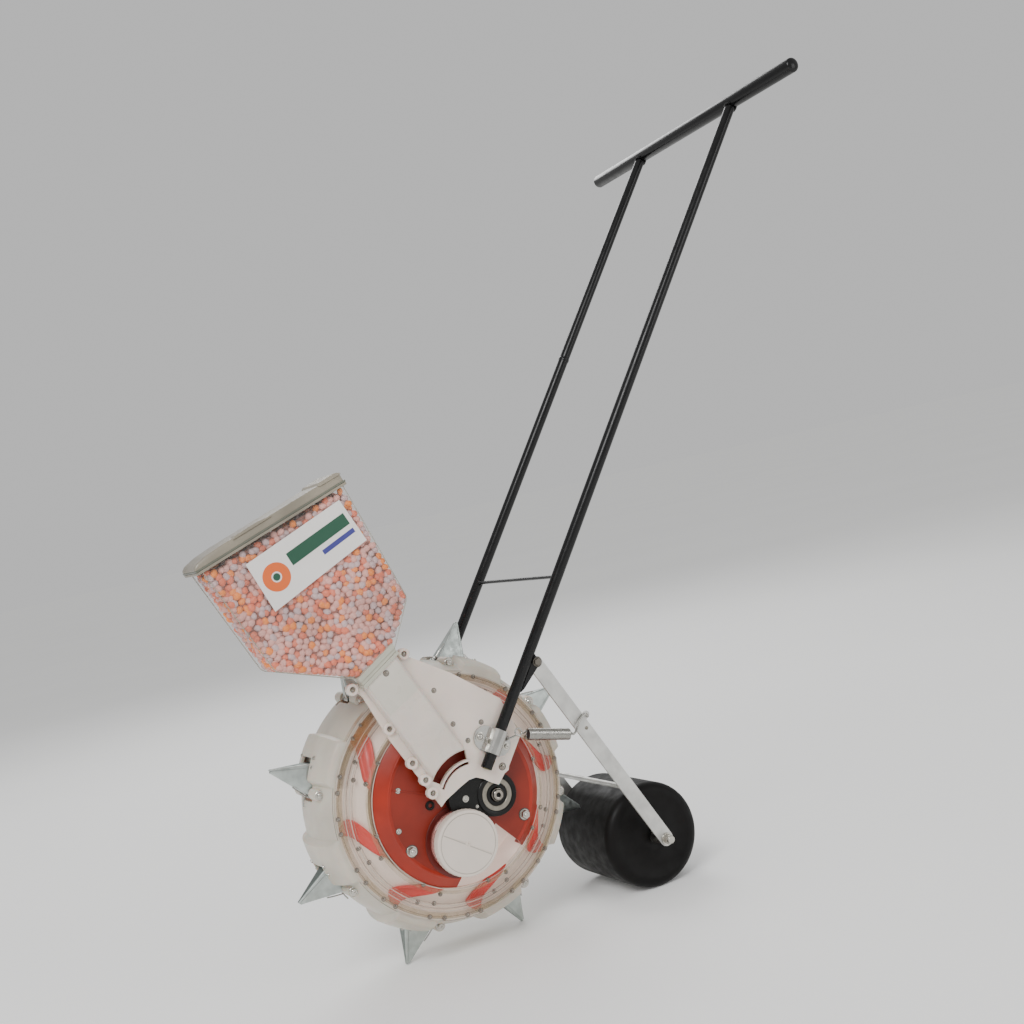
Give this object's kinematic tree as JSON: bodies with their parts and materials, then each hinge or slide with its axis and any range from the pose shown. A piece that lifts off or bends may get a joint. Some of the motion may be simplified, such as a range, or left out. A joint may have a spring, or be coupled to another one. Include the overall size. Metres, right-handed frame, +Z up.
{
  "type": "push seeder",
  "caption": "Hand-pushed garden seeder with a spiked seed drum, side hopper and feed chute, twin-pole T handle and a trailing press roller.",
  "frame": {"origin": "on the ground, under the middle of the bounding box", "axes": "+X to the rear, towards the handle bar, so the seeder travels towards -X; +Y to its right, away from the hopper; +Z up"},
  "size_m": [1.0093, 0.5898, 1.1548],
  "materials": {
    "black_enamel": "gloss",
    "zinc_plate": "bright zinc",
    "bolt_steel": "satin",
    "bearing_grey": "satin",
    "milky_plastic": "milky, satin",
    "white_plastic": "satin",
    "red_plastic": "satin",
    "clear_plastic": "clear",
    "lid_plastic": "satin",
    "roller_black": "satin"
  },
  "bodies": {
    "frame": {"axle_bearing": "bearing_grey", "clean_out_neck": "red_plastic", "drive_case": "black_enamel", "feed_chute": "white_plastic", "handle_bar": "black_enamel", "hopper_bin": "clear_plastic", "housing_bolt_1": "bolt_steel", "housing_bolt_2": "bolt_steel", "housing_bolt_3": "bolt_steel", "left_arm_bolt": "bolt_steel", "left_arm_lug": "black_enamel", "left_clamp": "zinc_plate", "left_clamp_bolt_front": "bolt_steel", "left_clamp_bolt_rear": "bolt_steel", "left_handle_pole": "black_enamel", "left_return_spring": "zinc_plate", "left_side_plate": "white_plastic", "pole_cross_rod": "black_enamel", "right_arm_bolt": "bolt_steel", "right_arm_lug": "black_enamel", "right_clamp": "zinc_plate", "right_clamp_bolt_front": "bolt_steel", "right_clamp_bolt_rear": "bolt_steel", "right_handle_pole": "black_enamel", "right_return_spring": "zinc_plate", "right_side_plate": "white_plastic", "seed_housing": "red_plastic", "shaft_bearing": "bearing_grey"},
    "wheel": {"drum_rim": "milky_plastic", "drum_left_cover": "milky_plastic", "drum_right_cover": "milky_plastic", "seed_vanes": "red_plastic", "drum_axle": "bolt_steel", "axle_nut": "bolt_steel", "spike_1_fixed_jaw": "zinc_plate", "spike_2_fixed_jaw": "zinc_plate", "spike_3_fixed_jaw": "zinc_plate", "spike_4_fixed_jaw": "zinc_plate", "spike_5_fixed_jaw": "zinc_plate", "spike_6_fixed_jaw": "zinc_plate", "spike_7_fixed_jaw": "zinc_plate", "spike_8_fixed_jaw": "zinc_plate"},
    "jaw_1": {"spike_1_moving_jaw": "zinc_plate"},
    "jaw_2": {"spike_2_moving_jaw": "zinc_plate"},
    "jaw_3": {"spike_3_moving_jaw": "zinc_plate"},
    "jaw_4": {"spike_4_moving_jaw": "zinc_plate"},
    "jaw_5": {"spike_5_moving_jaw": "zinc_plate"},
    "jaw_6": {"spike_6_moving_jaw": "zinc_plate"},
    "jaw_7": {"spike_7_moving_jaw": "zinc_plate"},
    "jaw_8": {"spike_8_moving_jaw": "zinc_plate"},
    "press_arm": {"left_roller_arm": "zinc_plate", "right_roller_arm": "zinc_plate", "roller_arm_cross_rod": "zinc_plate", "roller_axle": "bolt_steel"},
    "roller": {"press_roller": "roller_black"},
    "metering": {"metering_shaft": "bolt_steel", "metering_wheel": "red_plastic"},
    "lid": {"hopper_lid": "lid_plastic"},
    "cap": {"clean_out_cap": "white_plastic"}
  },
  "joints": [
    {"name": "wheel_spin", "type": "hinge", "parent": "frame", "child": "wheel", "pos_m": [-0.1926, 0, 0.22719], "axis": [0, -1, 0], "continuous": true},
    {"name": "jaw_1_open", "type": "hinge", "parent": "wheel", "child": "jaw_1", "pos_m": [-0.03241, 0, 0.31736], "axis": [0, -1, 0], "range_deg": [0, 22], "stiffness_Nm_per_rad": 0.1, "springref_deg": -17.19},
    {"name": "jaw_2_open", "type": "hinge", "parent": "wheel", "child": "jaw_2", "pos_m": [-0.14309, 0, 0.40422], "axis": [0, -1, 0], "range_deg": [0, 22], "stiffness_Nm_per_rad": 0.1, "springref_deg": -17.19},
    {"name": "jaw_3_open", "type": "hinge", "parent": "wheel", "child": "jaw_3", "pos_m": [-0.28276, 0, 0.38738], "axis": [0, -1, 0], "range_deg": [0, 22], "stiffness_Nm_per_rad": 0.1, "springref_deg": -17.19},
    {"name": "jaw_4_open", "type": "hinge", "parent": "wheel", "child": "jaw_4", "pos_m": [-0.36963, 0, 0.27671], "axis": [0, -1, 0], "range_deg": [0, 22], "stiffness_Nm_per_rad": 0.1, "springref_deg": -17.19},
    {"name": "jaw_5_open", "type": "hinge", "parent": "wheel", "child": "jaw_5", "pos_m": [-0.35279, 0, 0.13703], "axis": [0, -1, 0], "range_deg": [0, 22], "stiffness_Nm_per_rad": 0.1, "springref_deg": -17.19},
    {"name": "jaw_6_open", "type": "hinge", "parent": "wheel", "child": "jaw_6", "pos_m": [-0.24211, 0, 0.05017], "axis": [0, -1, 0], "range_deg": [0, 22], "stiffness_Nm_per_rad": 0.1, "springref_deg": -17.19},
    {"name": "jaw_7_open", "type": "hinge", "parent": "wheel", "child": "jaw_7", "pos_m": [-0.10243, 0, 0.067], "axis": [0, -1, 0], "range_deg": [0, 22], "stiffness_Nm_per_rad": 0.1, "springref_deg": -17.19},
    {"name": "jaw_8_open", "type": "hinge", "parent": "wheel", "child": "jaw_8", "pos_m": [-0.01557, 0, 0.17768], "axis": [0, -1, 0], "range_deg": [0, 22], "stiffness_Nm_per_rad": 0.1, "springref_deg": -17.19},
    {"name": "press_arm_swing", "type": "hinge", "parent": "frame", "child": "press_arm", "pos_m": [-0.0506, 0, 0.38319], "axis": [0, 1, 0], "range_deg": [-22, 0], "stiffness_Nm_per_rad": 6, "springref_deg": 28.65, "deforming": ["left_return_spring", "right_return_spring"]},
    {"name": "roller_spin", "type": "hinge", "parent": "press_arm", "child": "roller", "pos_m": [0.1021, 0, 0.078], "axis": [0, -1, 0], "continuous": true},
    {"name": "metering_spin", "type": "hinge", "parent": "frame", "child": "metering", "pos_m": [-0.1461, 0, 0.21919], "axis": [0, -1, 0], "continuous": true},
    {"name": "lid_open", "type": "hinge", "parent": "frame", "child": "lid", "pos_m": [-0.27082, -0.114, 0.6858], "axis": [0, 1, 0], "range_deg": [0, 110]},
    {"name": "cap_off", "type": "slide", "parent": "frame", "child": "cap", "axis": [0, -1, 0], "range_m": [0, 0.03]}
  ],
  "couplings": [
    {"joint": "metering_spin", "follows": "wheel_spin", "ratio": 1}
  ]
}
